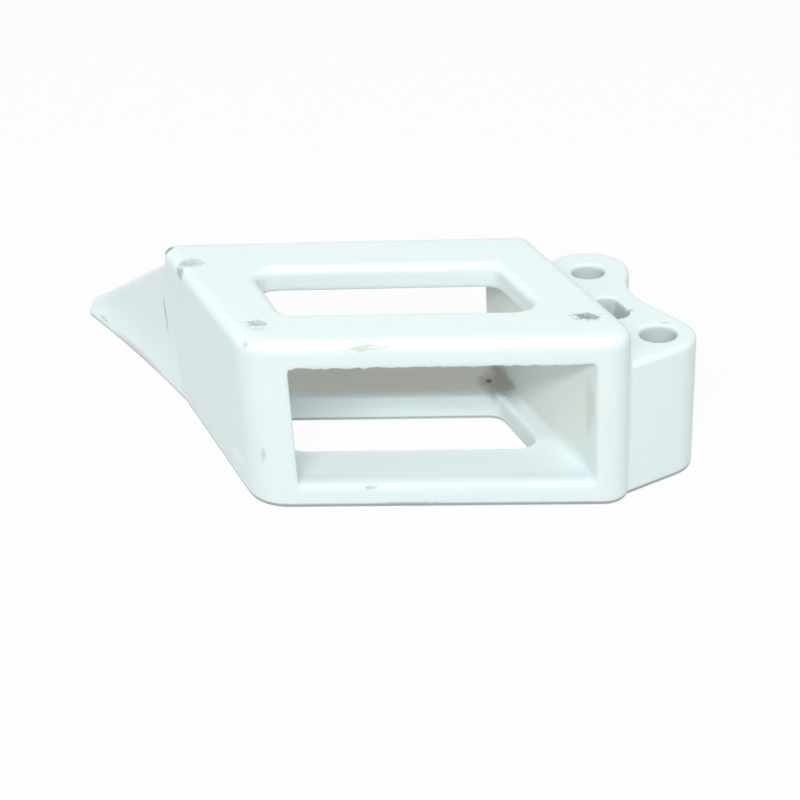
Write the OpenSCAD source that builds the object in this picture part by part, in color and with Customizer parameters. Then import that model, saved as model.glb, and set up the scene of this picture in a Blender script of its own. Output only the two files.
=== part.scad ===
// Chain guide: one moulded nylon block that a drive chain runs through.
// The part rests on its base plane Z = 0. X runs along the front face,
// Y is the way the chain runs, Z is across the chain.
// The origin is the axis of the front bolt hole on the base plane.

/* [Sleeve] */
// Length of the front face, corner to corner before rounding
body_length = 69.4; // [58:0.1:85]
// Depth of the sleeve from the front mouth to the back mouth
body_depth = 43.4; // [34:0.1:56]
// Height of the sleeve across the chain
body_height = 34; // [30:0.1:42]
// Slant of the left side wall from square
left_slant = 27.7; // [18:0.1:33]
// Slant of the right side wall from square
right_slant = 25; // [18:0.1:30]
// Plan radius of the front left corner
front_left_radius = 9; // [5:0.1:12]
// Plan radius of the front right corner
front_right_radius = 4.5; // [3:0.1:7]
// Plan radius of the two back corners
back_radius = 2.2; // [2:0.1:4]
// Rounding along the top edges of the sleeve
top_round = 2.1; // [0.8:0.1:2.1]
// Rounding along the bottom edges of the sleeve
base_round = 1; // [0.6:0.1:2.1]

/* [Chain slot] */
// Thickness of the wall above the slot
plate_wall = 5.1; // [3.6:0.1:6]
// Thickness of the wall below the slot
floor_wall = 5.5; // [4.6:0.1:6.5]
// Distance along X from the front left corner to the slot
slot_left = 7.85; // [6.5:0.05:10]
// Width of the slot along X at the front mouth
slot_width = 53.2; // [44:0.1:56]
// Corner radius of the slot
slot_corner = 0.8; // [0.6:0.1:3]
// Rounding of both mouths' edges
mouth_round = 0.5; // [0.3:0.1:1.6]
// Rounding of the lower lip of the front mouth
lip_round = 2; // [0.8:0.1:2.4]

/* [Windows] */
// Distance from the front face to the windows
window_front = 11.9; // [9:0.1:14]
// Size of the windows along the chain
window_depth = 18.4; // [12:0.1:22]
// Distance along X from the slot's left side to the windows, at their front
window_left = 4.2; // [3:0.1:8]
// Distance along X from the slot's right side to the windows, at their front
window_right = 3.6; // [2.5:0.1:8]
// Slant of both ends of the windows from square
window_slant = 25; // [18:0.1:29]
// Plan corner radius of the windows
window_radius = 3.2; // [2.2:0.1:5]
// Rounding of the windows' rims on the outside
rim_round = 1.5; // [0.5:0.1:2]
// Rounding of the windows' rims on the slot side
inner_rim_round = 1; // [0.3:0.1:1.5]

/* [Mounting boss] */
// Height of the boss's top above the base plane
boss_height = 27; // [22:0.1:29]
// Distance of the front bolt hole from the sleeve's right side
bolt_offset = 9.1; // [8:0.1:11]
// Distance of the front bolt hole from the front corner along that side
bolt_start = 12.6; // [10:0.1:16]
// Distance between the two bolt holes
bolt_pitch = 28.2; // [25:0.1:34]
// Slant of the line of bolt holes from square
bolt_slant = 24; // [20:0.1:27]
// Diameter of the front bolt hole
front_hole_d = 6.6; // [5:0.1:8]
// Diameter of the rear bolt hole
rear_hole_d = 6.2; // [5:0.1:8]
// Chamfer of the bolt holes' rims
hole_chamfer = 0.35; // [0.2:0.05:0.8]
// Radius of the boss around the front bolt hole
front_lobe_radius = 6.8; // [6:0.1:8.5]
// Radius of the boss around the rear bolt hole
rear_lobe_radius = 8.2; // [7:0.1:9.5]
// Distance of that lobe's middle behind the rear bolt hole
rear_lobe_shift = 0.7; // [0:0.1:1.5]
// Radius of the hollow waist between the two lobes
waist_radius = 14; // [9:0.1:17]
// Way of the boss's front edge from the front face
front_edge_turn = 33.5; // [26:0.1:40]
// Fillet between the rear lobe and the back of the sleeve
back_fillet = 3; // [1.5:0.1:5]
// Rounding of the boss's top and bottom edges
boss_round = 0.9; // [0.3:0.1:1.4]

/* [Pocket] */
// Length of the pocket along the line of bolt holes
pocket_length = 8.9; // [5:0.1:11]
// Width of the pocket across that line
pocket_width = 6.8; // [5:0.1:8]
// Distance of the pocket's outer side from the line of bolt holes
pocket_side = 0.6; // [0:0.1:1.5]
// Distance of the pocket's middle from the front bolt hole
pocket_place = 12.6; // [11:0.1:15]
// Depth of the pocket
pocket_depth = 23; // [10:0.1:24]
// Corner radius of the pocket
pocket_radius = 2.2; // [0.8:0.1:2.8]

/* [Tongue] */
// Length of the tongue behind the back left corner
tongue_length = 43.5; // [36:0.1:56]
// Outward turn of the tongue where it leaves the sleeve
tongue_turn = 6.5; // [3:0.1:9]
// Further outward bend of the tongue up to its tip
tongue_bend = 5; // [2:0.1:10]
// Height of the tongue's top edge where it leaves the sleeve
tongue_root_height = 29.4; // [24:0.1:31]
// Height of the tongue near its tip
tongue_tip_height = 5.4; // [4:0.1:8]
// Radius of the tip seen from the side
tongue_tip_radius = 1.8; // [1.2:0.1:4]
// Thickness of the blade at its top edge
blade_top = 2.3; // [1.8:0.1:3.2]
// Thickness of the foot of the blade at the sleeve
foot_root = 7; // [5:0.1:8]
// Thickness of the foot of the blade at the tip
foot_tip = 3.4; // [2.6:0.1:5]
// How far the foot flares out past the blade
foot_flare = 1.7; // [0.8:0.1:2.4]
// Height of the flare
flare_height = 11; // [7:0.1:14]
// Rounding of the foot's lower outer edge
foot_lip = 1.2; // [0.8:0.1:3.2]

/* [Hidden] */
nylon = [0.93, 0.95, 0.94];
corner_steps = 8;
round_steps = 4;
tan_left = tan(left_slant);
tan_right = tan(right_slant);

// plan corners of the sleeve, front left first, anticlockwise
corners = [[0, 0], [body_length, 0],
    [body_length - body_depth * tan_right, body_depth],
    [-body_depth * tan_left, body_depth]];
corner_radii = [front_left_radius, front_right_radius, back_radius, back_radius];

// bolt holes
right_way = [-sin(right_slant), cos(right_slant)];
right_out = [cos(right_slant), sin(right_slant)];
bolt_way = [-sin(bolt_slant), cos(bolt_slant)];
bolt_out = [cos(bolt_slant), sin(bolt_slant)];
front_hole = corners[1] + right_way * bolt_start + right_out * bolt_offset;
rear_hole = front_hole + bolt_way * bolt_pitch;
pocket_middle = front_hole + bolt_way * pocket_place - bolt_out * (pocket_side + pocket_width / 2);
rear_lobe = rear_hole + bolt_way * rear_lobe_shift;

function unit(v) = v / norm(v);
function outward(i) = let (d = unit(corners[(i + 1) % 4] - corners[i])) [d[1], -d[0]];
function way(i) = unit(corners[(i + 1) % 4] - corners[i]);
function corner_centre(i) = let (a = outward((i + 3) % 4), b = outward(i))
    corners[i] - corner_radii[i] * (a + b) / (1 + a * b);
function angle_of(v) = atan2(v[1], v[0]);
function turn(a, b) = let (d = b - a) d < 0 ? d + 360 : d;

// points of an arc from angle a to angle b, both ends included
function arc(c, r, a, b, n) = [for (i = [0 : n]) let (t = a + (b - a) * i / n) [c[0] + r * cos(t), c[1] + r * sin(t)]];

// inward step of a rounding of radius r at height h above its start
function round_in(r, h) = r - sqrt(max(0, r * r - h * h));

// a closed solid through a row of rings with the same number of points
// a concave ring says how its caps are cut into fans
module skin(rings, fans = []) {
    n = len(rings[0]);
    m = len(rings);
    caps = len(fans) == 0 ? [[for (j = [0 : n - 1]) j]]
        : [for (f = fans) concat([f[0]], f[0] < n - 1 ? [f[0] + 1] : [], [for (j = [f[1] : f[2]]) j])];
    polyhedron(
        points = [for (ring = rings) for (p = ring) p],
        faces = concat(
            caps,
            [for (c = caps) [for (j = [0 : len(c) - 1]) (m - 1) * n + c[(len(c) - j) % len(c)]]],
            [for (i = [0 : m - 2]) for (j = [0 : n - 1]) let (k = (j + 1) % n) [i * n + j, (i + 1) * n + j, (i + 1) * n + k]],
            [for (i = [0 : m - 2]) for (j = [0 : n - 1]) let (k = (j + 1) % n) [i * n + j, (i + 1) * n + k, i * n + k]]));
}

// ring of the sleeve's outline at height z, drawn in by g
function sleeve_ring(z, g) = [for (i = [0 : 3]) let (
    c = corner_centre(i),
    a = angle_of(outward((i + 3) % 4)),
    b = a + turn(a, angle_of(outward(i))))
    for (q = arc(c, corner_radii[i] - g, a, b, corner_steps)) [q[0], q[1], z]];

module sleeve_block() {
    skin(concat(
        [for (i = [0 : round_steps]) let (t = 90 * i / round_steps)
            sleeve_ring(base_round * (1 - cos(t)), base_round * (1 - sin(t)))],
        [for (i = [round_steps : -1 : 0]) let (t = 90 * i / round_steps)
            sleeve_ring(body_height - top_round * (1 - cos(t)), top_round * (1 - sin(t)))]));
}

// step of a rounding of radius r at distance y from its outer end
function edge_step(r, y) = y >= r ? 0 : round_in(r, r - y);

// ring of the slot at depth y, widened by g and lowered by low
function slot_ring(y, g, low) = let (
    x0 = slot_left - y * tan_left - g,
    x1 = slot_left + slot_width - y * tan_right + g,
    z0 = floor_wall - low,
    z1 = body_height - plate_wall + g,
    r = slot_corner + g,
    flat = concat(
        arc([x0 + r, z1 - r], r, 180, 90, 4),
        arc([x1 - r, z1 - r], r, 90, 0, 4),
        arc([x1 - r, z0 + r], r, 0, -90, 4),
        arc([x0 + r, z0 + r], r, 270, 180, 4)))
    [for (p = flat) [p[0], y, p[1]]];

module chain_slot() {
    front = [for (i = [0 : 6]) let (y = lip_round * (1 - cos(15 * i)))
        slot_ring(y, edge_step(mouth_round, y), edge_step(lip_round, y))];
    back = [for (i = [round_steps : -1 : 0]) let (
        t = 90 * i / round_steps,
        g = mouth_round * (1 - sin(t)))
        slot_ring(body_depth - mouth_round * (1 - cos(t)), g, g)];
    skin(concat([slot_ring(-2, mouth_round, lip_round)], front, back,
        [slot_ring(body_depth + 2, mouth_round, mouth_round)]));
}

// ring of the windows at height z, widened all round by g
window_back = window_front + window_depth;
function window_x0(y) = slot_left + window_left - window_front * tan_left - (y - window_front) * tan(window_slant);
function window_x1(y) = slot_left + slot_width - window_right - window_front * tan_right
    - (y - window_front) * tan(window_slant);
window_points = [[window_x0(window_front), window_front], [window_x1(window_front), window_front],
    [window_x1(window_back), window_back], [window_x0(window_back), window_back]];
function window_ring(z, g) = [for (i = [0 : 3]) let (
    p = window_points[i],
    d0 = unit(p - window_points[(i + 3) % 4]),
    d1 = unit(window_points[(i + 1) % 4] - p),
    n0 = [d0[1], -d0[0]],
    n1 = [d1[1], -d1[0]],
    c = p - window_radius * (n0 + n1) / (1 + n0 * n1),
    a = angle_of(n0),
    b = a + turn(a, angle_of(n1)))
    for (q = arc(c, window_radius + g, a, b, 5)) [q[0], q[1], z]];

module windows() {
    top = body_height;
    inner = [for (i = [0 : round_steps]) 90 * i / round_steps];
    // from below the base up to above the top, wide at each of the four rims
    skin(concat(
        [window_ring(-1, rim_round)],
        [for (t = inner) window_ring(rim_round * (1 - cos(t)), rim_round * (1 - sin(t)))],
        [for (k = [round_steps : -1 : 0]) let (t = 90 * k / round_steps)
            window_ring(floor_wall - inner_rim_round * (1 - cos(t)), inner_rim_round * (1 - sin(t)))],
        [for (t = inner)
            window_ring(top - plate_wall + inner_rim_round * (1 - cos(t)), inner_rim_round * (1 - sin(t)))],
        [for (k = [round_steps : -1 : 0]) let (t = 90 * k / round_steps)
            window_ring(top - rim_round * (1 - cos(t)), rim_round * (1 - sin(t)))],
        [window_ring(top + 1, rim_round)]));
}

// plan outline of the mounting boss, drawn in by g
waist_turn = angle_of(-bolt_way) + 52;
waist_centre = rear_lobe + (rear_lobe_radius + waist_radius) * [cos(waist_turn), sin(waist_turn)];
lobe_to_waist = waist_centre - front_hole;
waist_meet = angle_of(lobe_to_waist) - acos(min(1, (front_lobe_radius + waist_radius) / norm(lobe_to_waist)));
web_back = body_depth - 0.7;
fillet_y = web_back + back_fillet;
fillet_centre = [rear_lobe[0] - sqrt(pow(rear_lobe_radius + back_fillet, 2) - pow(fillet_y - rear_lobe[1], 2)), fillet_y];
fillet_meet = angle_of(fillet_centre - rear_lobe);
edge_way = [cos(front_edge_turn), sin(front_edge_turn)];
edge_meet = front_hole + front_lobe_radius * [edge_way[1], -edge_way[0]];
edge_start = edge_meet - edge_way * (edge_meet[1] - 1.4) / edge_way[1];

// the outline ends in four points inside the sleeve's right wall, from the back to the front
function wall_middle(y) = [(body_length + slot_left + slot_width) / 2 - y * tan_right, y];
function boss_outline(g) = concat(
    [edge_start - g * [edge_way[1], -edge_way[0]]],
    arc(front_hole, front_lobe_radius - g, front_edge_turn - 90, waist_meet, 12),
    arc(waist_centre, waist_radius + g, waist_meet + 180, waist_turn + 180, 9),
    [for (i = [1 : 18]) let (t = waist_turn + (fillet_meet - waist_turn) * i / 18)
        rear_lobe + (rear_lobe_radius - g) * [cos(t), sin(t)]],
    [for (i = [1 : 4]) let (t = fillet_meet - 180 + (-90 - fillet_meet + 180) * i / 4)
        fillet_centre + (back_fillet + g) * [cos(t), sin(t)]],
    [wall_middle(web_back - g), wall_middle(body_depth * 0.76), wall_middle(body_depth * 0.5), wall_middle(body_depth * 0.15)]);
function boss_ring(z, g) = [for (p = boss_outline(g)) [p[0], p[1], z]];
// each cap is three fans from those points: [fan's point, first, last]
boss_fans = [[49, 0, 13], [48, 13, 26], [47, 26, 46]];

module mounting_boss() {
    r = boss_round;
    skin(concat(
        [for (i = [0 : round_steps]) let (t = 90 * i / round_steps)
            boss_ring(r * (1 - cos(t)), r * (1 - sin(t)))],
        [for (i = [round_steps : -1 : 0]) let (t = 90 * i / round_steps)
            boss_ring(boss_height - r * (1 - cos(t)), r * (1 - sin(t)))]), boss_fans);
}

module bolt_hole(p, d) {
    translate([p[0], p[1], -1])
        cylinder(h = boss_height + 2, d = d, $fn = 72);
    translate([p[0], p[1], -0.01])
        cylinder(h = hole_chamfer, d1 = d + 2 * hole_chamfer, d2 = d, $fn = 72);
    translate([p[0], p[1], boss_height - hole_chamfer + 0.01])
        cylinder(h = hole_chamfer, d1 = d, d2 = d + 2 * hole_chamfer, $fn = 72);
}

module pocket() {
    x = pocket_width / 2;
    y = pocket_length / 2;
    r = pocket_radius;
    translate([pocket_middle[0], pocket_middle[1], boss_height - pocket_depth])
        rotate([0, 0, bolt_slant])
            linear_extrude(pocket_depth + 1)
                polygon(concat(
                    arc([x - r, r - y], r, -90, 0, 6),
                    arc([x - r, y - r], r, 0, 90, 6),
                    arc([r - x, y - r], r, 90, 180, 6),
                    arc([r - x, r - y], r, 180, 270, 6)));
}

// the tongue: a thin blade on a flared foot, swept along a bending line
back_left = corners[3];
tongue_start = -12;
tongue_stations = 18;
root_angle = 90 + left_slant;
leave_angle = root_angle + tongue_turn;
root_turn = -tongue_turn / tongue_start;
// place at distance s along an arc that starts at p in direction a and turns by k for each millimetre
function arc_place(p, a, k, s) = p + (180 / PI) / k * [sin(a + k * s) - sin(a), cos(a) - cos(a + k * s)];
root_place = back_left + tongue_start * [cos(root_angle), sin(root_angle)];
leave_place = arc_place(root_place, root_angle, root_turn, -tongue_start);
// plan direction and place of the foot's outer line at distance s behind the back left corner
function tongue_angle(s) = s <= 0 ? leave_angle + root_turn * s : leave_angle + tongue_bend * s / tongue_length;
function tongue_place(s) = s <= 0
    ? arc_place(root_place, root_angle, root_turn, s - tongue_start)
    : arc_place(leave_place, leave_angle, tongue_bend / tongue_length, s);
// how deep the root is sunk into the sleeve's wall
function root_sink(s) = 0.8 * pow(s / tongue_start, 2);
// height of the top edge, a straight fall that ends in a rounded tip
function tongue_slope() = (tongue_root_height - tongue_tip_height) / (tongue_length - tongue_tip_radius);
function tongue_fall(s) = tongue_root_height - tongue_slope() * s;
function tongue_height(s) = let (r = tongue_tip_radius, u = s - (tongue_length - r))
    u <= 0 ? min(tongue_fall(s), tongue_root_height) : tongue_tip_height - (tongue_tip_height - 1.6) * (1 - sqrt(max(0, 1 - u * u / (r * r))));
function tongue_foot(s) = let (u = max(0, s) / tongue_length) foot_root + (foot_tip - foot_root) * sqrt(u);
// outer face, measured inwards from the foot's outer line at height z
function flare(z, h) = let (f = min(flare_height, h * 0.8), u = min(1, max(0, z - 2) / f))
    foot_flare * (1 - pow(1 - u, 2)) * min(1, h / 9);
function lip(z, r) = z >= r ? 0 : round_in(r, r - z);
// section points as [inwards, z], going round from the outer bottom up and back down
function tongue_section(s) = let (
    h = tongue_height(s),
    r = min(foot_lip, h * 0.4),
    foot = tongue_foot(s),
    blade = min(blade_top, foot * 0.8),
    top_r = min(blade / 2, h * 0.3),
    zs = concat([for (i = [1 : 4]) r * (1 - cos(22.5 * i - 11))], [for (i = [0 : 7]) r + (h - top_r - r) * pow(i / 7, 1.4)]),
    outer = [for (z = zs) [flare(z, h) + lip(z, r), z]],
    ox = flare(h - top_r, h),
    crown = [for (i = [1 : 3]) let (t = 180 - 45 * i) [ox + blade / 2 + blade / 2 * cos(t), h - top_r + top_r * sin(t)]],
    inner = [for (i = [6 : -1 : 0]) let (z = r + (h - top_r - r) * i / 6, u = min(1, (h - top_r - z) / max(0.1, h * 0.9)))
        [ox + blade + (foot - ox - blade) * sin(90 * min(1, u * 1.15)), z]],
    base = [[foot - 0.3, 0.35], [foot - 0.9, 0]])
    concat([[r, 0]], outer, crown, inner, base);
function tongue_ring(s, g = 0) = let (
    p = tongue_place(s),
    a = tongue_angle(s),
    n = [sin(a), -cos(a)])
    [for (q = tongue_section(s)) [p[0] + n[0] * (q[0] + g), p[1] + n[1] * (q[0] + g), q[1]]];

module tongue() {
    tip = tongue_length - tongue_tip_radius;
    skin(concat(
        [for (i = [4 : -1 : 1]) let (s = tongue_start * i / 4) tongue_ring(s, root_sink(s))],
        [for (i = [0 : tongue_stations]) tongue_ring(tip * i / tongue_stations)],
        [for (i = [1 : 6]) tongue_ring(tip + tongue_tip_radius * sin(15 * i) * 0.995)]));
}

module chain_guide() {
    color(nylon)
        translate([-front_hole[0], -front_hole[1], 0])
            difference() {
                union() {
                    sleeve_block();
                    mounting_boss();
                    tongue();
                }
                chain_slot();
                windows();
                bolt_hole(front_hole, front_hole_d);
                bolt_hole(rear_hole, rear_hole_d);
                pocket();
            }
}

chain_guide();
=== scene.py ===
import math

import bmesh
import bpy
from mathutils import Matrix, Vector, noise


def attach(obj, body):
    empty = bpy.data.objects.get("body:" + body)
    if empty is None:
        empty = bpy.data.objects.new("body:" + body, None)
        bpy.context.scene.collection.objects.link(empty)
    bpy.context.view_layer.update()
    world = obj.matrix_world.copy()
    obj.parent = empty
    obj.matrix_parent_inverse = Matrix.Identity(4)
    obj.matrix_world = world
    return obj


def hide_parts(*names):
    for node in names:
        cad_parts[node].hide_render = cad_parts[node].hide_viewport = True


# Motorcycle chain guide: one white nylon moulding lying on a pale floor.
# Lengths are in metres, in the frame of the CAD model. mm turns millimetres into metres.

mm = 0.001
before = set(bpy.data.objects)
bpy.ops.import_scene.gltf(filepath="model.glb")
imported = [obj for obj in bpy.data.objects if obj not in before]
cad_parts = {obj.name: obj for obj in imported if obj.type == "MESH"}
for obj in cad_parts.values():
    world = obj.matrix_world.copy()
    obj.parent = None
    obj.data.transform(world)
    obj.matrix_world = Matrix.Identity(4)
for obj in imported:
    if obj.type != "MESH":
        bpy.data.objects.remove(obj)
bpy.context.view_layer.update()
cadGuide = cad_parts["chain_guide"]
print("frame loaded")

# the guide: an even skin over the CAD solid, with moulded corners and fillets

guide = {
    "grid": 0.34 * mm,         # spacing of the even skin
    "softening": 4,            # rounds of smoothing that give the small fillets
    "softeningShare": 0.5,     # share of each round
    "faces": 180000,           # triangles kept
    "sinkDepth": 0.05 * mm,    # gentle unevenness of the moulded faces
    "sinkSize": 16 * mm,
}

# worn, nicked upper edge of the front mouth
nicks = {
    "edgeY": -15.1 * mm,
    "topZ": 28.9 * mm,
    "reach": 0.9 * mm,
    "rise": 0.2 * mm,
    "depth": 0.5 * mm,
    "size": 0.75 * mm,
}


def linkObject(name, data):
    made = bpy.data.objects.new(name, data)
    bpy.context.scene.collection.objects.link(made)
    return made


def appliedMesh(piece):
    depsgraph = bpy.context.evaluated_depsgraph_get()
    return bpy.data.meshes.new_from_object(piece.evaluated_get(depsgraph))


def nickedEdge(place):
    away = math.hypot(place.y - nicks["edgeY"], place.z - nicks["topZ"])
    share = max(0.0, 1.0 - away / nicks["reach"])
    rough = Vector((place.x / nicks["size"], 0.5, 0.5))
    step = nicks["depth"] * (noise.noise(rough) + 0.6 * noise.noise(rough * 2.7))
    return share * min(step, nicks["rise"])


def buildGuide():
    copyMesh = cadGuide.data.copy()
    work = bmesh.new()
    work.from_mesh(copyMesh)
    bmesh.ops.remove_doubles(work, verts=work.verts, dist=0.001 * mm)
    work.to_mesh(copyMesh)
    work.free()
    draft = linkObject("guideDraft", copyMesh)
    skin = draft.modifiers.new("evenSkin", "REMESH")
    skin.mode = "VOXEL"
    skin.voxel_size = guide["grid"]
    soft = draft.modifiers.new("softEdges", "SMOOTH")
    soft.factor = guide["softeningShare"]
    soft.iterations = guide["softening"]
    thin = draft.modifiers.new("fewerFaces", "DECIMATE")
    thin.ratio = 1.0
    count = len(appliedMesh(draft).polygons) * 2
    thin.ratio = min(1.0, guide["faces"] / count)
    print("even skin:", count, "triangles before thinning")
    shell = appliedMesh(draft)
    bpy.data.objects.remove(draft)

    work = bmesh.new()
    work.from_mesh(shell)
    for vert in work.verts:
        away = noise.noise(vert.co / guide["sinkSize"])
        vert.co -= vert.normal * guide["sinkDepth"] * (0.5 + 0.5 * away)
        vert.co.z += nickedEdge(vert.co)
    for face in work.faces:
        face.smooth = True
    work.to_mesh(shell)
    work.free()
    shell.materials.clear()
    return linkObject("chainGuideShell", shell)


shellPiece = buildGuide()
print("guide shell built:", len(shellPiece.data.polygons), "faces")

# nylon: white with a faint green tint, satin, slightly translucent

nylon = {
    "colour": (0.80, 0.895, 0.90, 1),
    "colourCool": (0.79, 0.87, 0.905, 1),
    "roughness": 0.42,
    "roughnessWorn": 0.7,
}

# colours of stains and scuffs, and of painted light and shade: the near-white blue is painted light, the cream
# tint and the line and bore colours are painted shade, warm and grey serve both stains and painted shade
tones = {
    "grey": (0.11, 0.14, 0.13, 1),
    "brown": (0.16, 0.10, 0.09, 1),
    "olive": (0.40, 0.41, 0.29, 1),
    "warm": (0.32, 0.28, 0.23, 1),
    "blue": (0.36, 0.42, 0.56, 1),
    "paintedShadeTint": (0.84, 0.83, 0.75, 1),
    "bright": (0.90, 0.99, 1.0, 1),
    "line": (0.16, 0.17, 0.17, 1),
    "bore": (0.58, 0.66, 0.56, 1),
}

# marks of use and patches of painted light and shade: middle and half sizes in millimetres, turn about Z in
# degrees;
# grain is the fineness of the blotches, fill runs from few specks at 0 to an even stain at 1
marks = {
    # painted light: a near-white patch lightens the front strip of the slot floor
    "floorPaintedLight": {"at": (-42, -6.2, 5.8), "size": (44, 8.9, 3.5), "turn": 0,
                    "tone": "bright", "grain": 2, "fill": 1.5, "cover": 1.0},
    # painted shade: a warm grey tint over the shaded upper back part of the right inner wall
    "wallPaintedShade": {"at": (-21, 6, 19), "size": (7, 28, 16), "turn": 25,
                 "tone": "paintedShadeTint", "grain": 2, "fill": 1.4, "cover": 0.6},
    # painted shade: a warm tint over the shaded slot floor behind the lower window
    "backFloorPaintedShade": {"at": (-50, 26, 5.5), "size": (46, 12, 2.6), "turn": 0,
                  "tone": "paintedShadeTint", "grain": 2, "fill": 1.3, "cover": 0.85},
    "cornerSpot": {"at": (-92.5, 25.3, 33.5), "size": (1.7, 1.0, 1.4), "turn": 20,
                   "tone": "brown", "grain": 2, "fill": 1.0, "cover": 0.65},
    "leftSmear": {"at": (-87.2, 18.2, 34), "size": (4.8, 3.8, 2), "turn": 2,
                  "tone": "grey", "grain": 2.6, "fill": 0.62, "cover": 0.42},
    "leftTail": {"at": (-88.9, 16.6, 32.8), "size": (2.9, 0.9, 2.2), "turn": -64,
                 "tone": "grey", "grain": 1.6, "fill": 0.8, "cover": 0.5},
    "cornerScuff": {"at": (-70.8, -7.1, 34), "size": (4.2, 3.0, 2), "turn": -4,
                    "tone": "grey", "grain": 3.6, "fill": 0.52, "cover": 0.55},
    "cornerScuffLow": {"at": (-70.2, -9.2, 34), "size": (3.0, 1.8, 2), "turn": 0,
                       "tone": "olive", "grain": 2, "fill": 0.6, "cover": 0.22},
    "frontStreak": {"at": (-50.6, -15.0, 33.0), "size": (7.8, 1.5, 1.6), "turn": 2,
                    "tone": "olive", "grain": 3.6, "fill": 0.58, "cover": 0.55},
    "cornerSpecks": {"at": (-71.9, -13.0, 33.0), "size": (1.3, 1.7, 2.0), "turn": 0,
                     "tone": "grey", "grain": 3.2, "fill": 0.5, "cover": 0.4},
    "lipMark": {"at": (-51.9, -15.0, 4.5), "size": (2.4, 1.4, 1.0), "turn": 0,
                "tone": "grey", "grain": 3.4, "fill": 0.55, "cover": 0.42},
    "rightStrokes": {"at": (-13.0, -6.7, 34), "size": (4.8, 3.2, 2), "turn": -8,
                     "tone": "grey", "grain": 3.8, "fill": 0.58, "cover": 0.8},
    "cornerLine": {"at": (-6.8, -9.2, 33.6), "size": (1.4, 0.6, 1.6), "turn": -35,
                   "tone": "warm", "grain": 1.5, "fill": 0.9, "cover": 0.35},
    "bossDots": {"at": (1.6, 3.7, 27), "size": (1.9, 0.9, 0.8), "turn": 0,
                 "tone": "grey", "grain": 3.6, "fill": 0.45, "cover": 0.5},
    "pocketDots": {"at": (-4.6, 8.9, 26.8), "size": (1.5, 1.0, 1.2), "turn": 25,
                   "tone": "grey", "grain": 3.2, "fill": 0.5, "cover": 0.7},
    "tipEdge": {"at": (-117.0, 57.2, 2.6), "size": (4.6, 1.4, 1.4), "turn": -53,
                "tone": "olive", "grain": 4.6, "fill": 0.5, "cover": 0.55},
    # painted shade: a warm dark band along the bottom edge of the tongue, where it meets the floor
    "tongueFootShade": {"at": (-107.0, 44.2, 1.4), "size": (15, 3.0, 1.8), "turn": -53,
                   "tone": "warm", "grain": 2, "fill": 1.0, "cover": 0.24},
    # painted shade: a dark line in the crease where the sleeve's back-left corner steps out to the tongue
    "tongueCreaseShade": {"at": (-96.5, 31.8, 16.0), "size": (2.6, 0.2, 6.2), "turn": 104.8,
                     "tone": "grey", "grain": 1.5, "fill": 1.0, "cover": 0.4},
    "sideSpeckLow": {"at": (-70.7, -14.4, 11.4), "size": (1.3, 1.3, 3.4), "turn": 0,
                     "tone": "grey", "grain": 3.4, "fill": 0.45, "cover": 0.3},
    "baseMarks": {"at": (-45.0, -15.3, 1.3), "size": (13, 1.4, 0.9), "turn": 0,
                  "tone": "brown", "grain": 9, "fill": 0.4, "cover": 0.4},
    # painted shade: darkening in the back corner where the slot floor meets the right inner wall
    "backCornerShade": {"at": (-29.2, 20.0, 5.6), "size": (5.4, 8.5, 5), "turn": 12,
                    "tone": "warm", "grain": 2, "fill": 0.85, "cover": 0.5},
    "floorDot": {"at": (-31.0, 21.3, 5.5), "size": (0.7, 0.9, 1), "turn": 0,
                 "tone": "grey", "grain": 1, "fill": 1.2, "cover": 0.85},
    "mouthStain": {"at": (-12.5, -12.5, 19.5), "size": (2.2, 3.2, 8.5), "turn": 0,
                   "tone": "olive", "grain": 1.6, "fill": 0.8, "cover": 0.24},
}
markSoftness = 0.55

# painted shade on the walls of the bolt holes and the pocket, below their rims: middle and half sizes in
# millimetres
boreShades = {
    "front": {"at": (0, 0), "size": (4.2, 4.2), "turn": 0},
    "rear": {"at": (-11.47, 25.76), "size": (4.0, 4.0), "turn": 0},
    "pocket": {"at": (-8.8, 9.9), "size": (5.5, 4.0), "turn": 114},
}
boreTop = 26.75 * mm
boreCover = 0.42

# painted shade: a thin dark line along the bottom edge of the sides, where the guide meets the floor
bottomEdgeShade = {"high": 1.4 * mm, "low": 0.9 * mm, "cover": 0.7}


def nodeMaterial(name):
    made = bpy.data.materials.new(name)
    made.use_nodes = True
    made.node_tree.nodes.clear()
    return made, made.node_tree.nodes, made.node_tree.links


def ranged(nodes, links, value, low, high):
    step = nodes.new("ShaderNodeMapRange")
    step.inputs["From Min"].default_value = low
    step.inputs["From Max"].default_value = high
    links.new(value, step.inputs["Value"])
    return step.outputs["Result"]


def calculated(nodes, links, operation, first, second, third=None):
    made = nodes.new("ShaderNodeMath")
    made.operation = operation
    for socket, value in zip(made.inputs, (first, second, third)):
        if isinstance(value, (int, float)):
            socket.default_value = value
        elif value is not None:
            links.new(value, socket)
    return made.outputs[0]


def blended(nodes, links, share, below, above):
    mixed = nodes.new("ShaderNodeMix")
    mixed.data_type = "RGBA"
    for name, value in (("A", below), ("B", above)):
        if isinstance(value, tuple):
            mixed.inputs[name].default_value = value
        else:
            links.new(value, mixed.inputs[name])
    links.new(share, mixed.inputs["Factor"])
    return mixed.outputs["Result"]


def around(nodes, links, place, at, size, turn):
    local = nodes.new("ShaderNodeMapping")
    local.vector_type = "TEXTURE"
    local.inputs["Location"].default_value = [v * mm for v in at]
    local.inputs["Rotation"].default_value = (0, 0, math.radians(turn))
    local.inputs["Scale"].default_value = [v * mm for v in size]
    links.new(place, local.inputs["Vector"])
    length = nodes.new("ShaderNodeVectorMath")
    length.operation = "LENGTH"
    links.new(local.outputs["Vector"], length.inputs[0])
    return local.outputs["Vector"], length.outputs["Value"]


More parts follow.
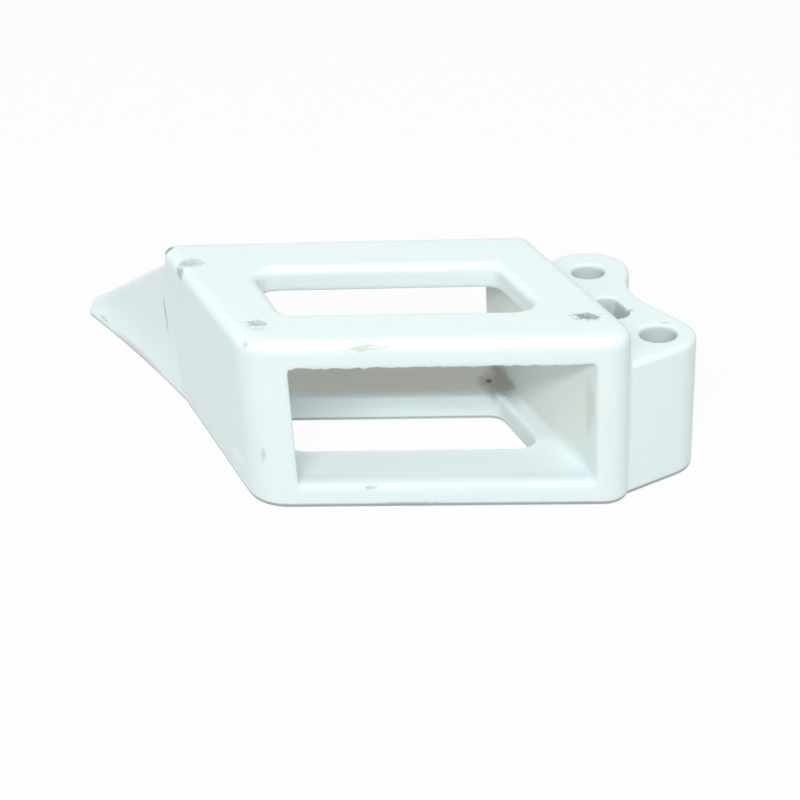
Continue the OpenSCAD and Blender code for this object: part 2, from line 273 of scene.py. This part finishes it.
def markShare(nodes, links, place, mark):
    local, away = around(nodes, links, place, mark["at"], mark["size"], mark["turn"])
    inside = ranged(nodes, links, away, 1.0, 0.2)
    grit = nodes.new("ShaderNodeTexNoise")
    grit.inputs["Scale"].default_value = mark["grain"]
    grit.inputs["Detail"].default_value = 6
    grit.inputs["Roughness"].default_value = 0.7
    links.new(local, grit.inputs["Vector"])
    rough = ranged(nodes, links, grit.outputs["Fac"], 0.3, 0.7)
    level = calculated(nodes, links, "ADD", rough, inside)
    start = 1.6 - mark["fill"]
    share = ranged(nodes, links, level, start, start + markSoftness)
    rim = ranged(nodes, links, away, 1.0, 0.7)
    covered = calculated(nodes, links, "MULTIPLY", share, rim)
    return calculated(nodes, links, "MULTIPLY", covered, mark["cover"])


def split(nodes, links, vector):
    parts = nodes.new("ShaderNodeSeparateXYZ")
    links.new(vector, parts.inputs[0])
    return parts.outputs["Z"]


# painted shade: darkens the walls of a hole below its rim
def boreShadeShare(nodes, links, place, bore):
    size = (*bore["size"], 1000)
    away = around(nodes, links, place, (*bore["at"], 0), size, bore["turn"])[1]
    near = ranged(nodes, links, away, 1.0, 0.97)
    low = ranged(nodes, links, split(nodes, links, place), boreTop, boreTop - 1.2 * mm)
    covered = calculated(nodes, links, "MULTIPLY", near, low)
    return calculated(nodes, links, "MULTIPLY", covered, boreCover)


# painted shade: darkens the lowest strip of the side faces
def bottomEdgeShadeShare(nodes, links, coordinates):
    low = ranged(nodes, links, split(nodes, links, coordinates["Object"]), bottomEdgeShade["high"], bottomEdgeShade["low"])
    side = ranged(nodes, links, split(nodes, links, coordinates["Normal"]), -0.75, -0.3)
    covered = calculated(nodes, links, "MULTIPLY", low, side)
    return calculated(nodes, links, "MULTIPLY", covered, bottomEdgeShade["cover"])


def nylonMaterial():
    made, nodes, links = nodeMaterial("whiteNylon")
    output = nodes.new("ShaderNodeOutputMaterial")
    shader = nodes.new("ShaderNodeBsdfPrincipled")
    links.new(shader.outputs["BSDF"], output.inputs["Surface"])
    shader.inputs["Subsurface Weight"].default_value = 0.15
    shader.inputs["Subsurface Radius"].default_value = (1.0, 1.0, 0.9)
    shader.inputs["Subsurface Scale"].default_value = 1.5 * mm
    coordinates = nodes.new("ShaderNodeTexCoord").outputs
    place = coordinates["Object"]
    clouds = nodes.new("ShaderNodeTexNoise")
    clouds.inputs["Scale"].default_value = 60
    clouds.inputs["Detail"].default_value = 3
    links.new(place, clouds.inputs["Vector"])
    colour = blended(nodes, links, clouds.outputs["Fac"], nylon["colour"], nylon["colourCool"])
    # painted shade inside the bolt holes and the pocket
    for bore in boreShades.values():
        colour = blended(nodes, links, boreShadeShare(nodes, links, place, bore), colour, tones["bore"])
    # painted shade along the bottom edge
    colour = blended(nodes, links, bottomEdgeShadeShare(nodes, links, coordinates), colour, tones["line"])
    # stains and scuffs, and the painted light and shade patches among the marks
    for mark in marks.values():
        share = markShare(nodes, links, place, mark)
        colour = blended(nodes, links, share, colour, tones[mark["tone"]])
    links.new(colour, shader.inputs["Base Color"])
    # darker places in the colour, stains and painted shade alike, are made rougher and lower in the bump
    grey = nodes.new("ShaderNodeRGBToBW")
    links.new(colour, grey.inputs["Color"])
    stainsAndPaintedShade = ranged(nodes, links, grey.outputs["Val"], 0.85, 0.3)
    worn = nodes.new("ShaderNodeMapRange")
    worn.inputs["To Min"].default_value = nylon["roughness"]
    worn.inputs["To Max"].default_value = nylon["roughnessWorn"]
    links.new(stainsAndPaintedShade, worn.inputs["Value"])
    links.new(worn.outputs["Result"], shader.inputs["Roughness"])
    grain = nodes.new("ShaderNodeTexNoise")
    grain.inputs["Scale"].default_value = 1500
    grain.inputs["Detail"].default_value = 2
    links.new(place, grain.inputs["Vector"])
    height = calculated(nodes, links, "SUBTRACT", grain.outputs["Fac"], stainsAndPaintedShade)
    bump = nodes.new("ShaderNodeBump")
    bump.inputs["Strength"].default_value = 0.15
    bump.inputs["Distance"].default_value = 0.05 * mm
    links.new(height, bump.inputs["Height"])
    links.new(bump.outputs["Normal"], shader.inputs["Normal"])
    return made


whiteNylon = nylonMaterial()
shellPiece.data.materials.append(whiteNylon)
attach(shellPiece, "root")
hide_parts("chain_guide")
print("nylon ready")

# pale floor that keeps the shadow and shows white to the camera

floor = {
    "size": 3.0,
    "colour": (0.65, 0.65, 0.64, 1),
    "whiteShare": 0.95,
}


def floorMaterial():
    made, nodes, links = nodeMaterial("paleFloor")
    output = nodes.new("ShaderNodeOutputMaterial")
    matt = nodes.new("ShaderNodeBsdfDiffuse")
    matt.inputs["Color"].default_value = floor["colour"]
    bright = nodes.new("ShaderNodeEmission")
    bright.inputs["Color"].default_value = (1, 1, 1, 1)
    bright.inputs["Strength"].default_value = 1
    seen = nodes.new("ShaderNodeLightPath")
    share = nodes.new("ShaderNodeMath")
    share.operation = "MULTIPLY"
    share.inputs[1].default_value = floor["whiteShare"]
    mixed = nodes.new("ShaderNodeMixShader")
    direct = nodes.new("ShaderNodeMath")
    direct.operation = "MAXIMUM"
    links.new(seen.outputs["Is Camera Ray"], direct.inputs[0])
    links.new(seen.outputs["Is Glossy Ray"], direct.inputs[1])
    links.new(direct.outputs[0], share.inputs[0])
    links.new(share.outputs[0], mixed.inputs["Fac"])
    links.new(matt.outputs["BSDF"], mixed.inputs[1])
    links.new(bright.outputs["Emission"], mixed.inputs[2])
    links.new(mixed.outputs["Shader"], output.inputs["Surface"])
    return made


def buildFloor():
    work = bmesh.new()
    bmesh.ops.create_grid(work, x_segments=1, y_segments=1, size=floor["size"] / 2)
    mesh = bpy.data.meshes.new("floorSheet")
    work.to_mesh(mesh)
    work.free()
    mesh.materials.append(floorMaterial())
    return linkObject("floorSheet", mesh)


floorSheet = buildFloor()
print("floor laid")

# soft studio light

world = {"colour": (1.0, 0.97, 0.91, 1), "strength": 0.34}

lamps = {
    "keyLamp": {"from": (-0.02, -0.75, 0.62), "size": (0.8, 0.12), "power": 6.35, "colour": (0.95, 0.99, 1.0)},
    "topLamp": {"from": (-0.03, 0.02, 0.9), "size": (0.12, 0.12), "power": 2.1, "colour": (0.96, 1.0, 1.0)},
    "leftLamp": {"from": (-0.8, -0.12, 0.35), "size": (0.5, 0.5), "power": 1.0, "colour": (0.86, 1.0, 1.0)},
    "rightLamp": {"from": (0.8, -0.2, 0.35), "size": (0.5, 0.5), "power": 0.35, "colour": (0.86, 1.0, 1.0)},
}
lampTarget = Vector((-0.04, 0.01, 0.015))


def buildWorld():
    made = bpy.data.worlds.new("studio")
    bpy.context.scene.world = made
    made.use_nodes = True
    nodes, links = made.node_tree.nodes, made.node_tree.links
    nodes.clear()
    output = nodes.new("ShaderNodeOutputWorld")
    light = nodes.new("ShaderNodeBackground")
    light.inputs["Color"].default_value = world["colour"]
    light.inputs["Strength"].default_value = world["strength"]
    white = nodes.new("ShaderNodeBackground")
    white.inputs["Color"].default_value = (1, 1, 1, 1)
    white.inputs["Strength"].default_value = 1
    seen = nodes.new("ShaderNodeLightPath")
    mixed = nodes.new("ShaderNodeMixShader")
    direct = nodes.new("ShaderNodeMath")
    direct.operation = "MAXIMUM"
    links.new(seen.outputs["Is Camera Ray"], direct.inputs[0])
    links.new(seen.outputs["Is Glossy Ray"], direct.inputs[1])
    links.new(direct.outputs[0], mixed.inputs["Fac"])
    links.new(light.outputs["Background"], mixed.inputs[1])
    links.new(white.outputs["Background"], mixed.inputs[2])
    links.new(mixed.outputs["Shader"], output.inputs["Surface"])


def buildLamps():
    for name, values in lamps.items():
        data = bpy.data.lights.new(name, "AREA")
        data.shape = "RECTANGLE"
        data.size, data.size_y = values["size"]
        data.energy = values["power"]
        data.color = values["colour"]
        lamp = linkObject(name, data)
        start = Vector(values["from"])
        lamp.location = start
        lamp.rotation_euler = (lampTarget - start).to_track_quat("-Z", "Y").to_euler()


buildWorld()
buildLamps()
print("lights set")

# camera at the photograph's place, in degrees and metres

view = {
    "place": (-22.91 * mm, -258.40 * mm, 164.57 * mm),
    "down": 30.15,
    "turn": -5.30,
    "roll": -3.47,
    "lens": 73.115,
}


def buildCamera():
    down, turn, roll = (math.radians(view[k]) for k in ("down", "turn", "roll"))
    ahead = Vector((math.sin(turn) * math.cos(down), math.cos(turn) * math.cos(down), -math.sin(down)))
    right = Vector((math.cos(turn), -math.sin(turn), 0))
    up = right.cross(ahead)
    rightTilted = math.cos(roll) * right + math.sin(roll) * up
    upTilted = math.cos(roll) * up - math.sin(roll) * right
    data = bpy.data.cameras.new("photoCamera")
    data.lens = view["lens"]
    data.sensor_width = 36
    data.sensor_fit = "HORIZONTAL"
    data.clip_start = 0.01
    data.clip_end = 20
    camera = linkObject("photoCamera", data)
    axes = Matrix((rightTilted, upTilted, -ahead)).transposed().to_4x4()
    camera.matrix_world = Matrix.Translation(view["place"]) @ axes
    bpy.context.scene.camera = camera


buildCamera()
bpy.context.scene.view_settings.view_transform = "Standard"
print("camera set")
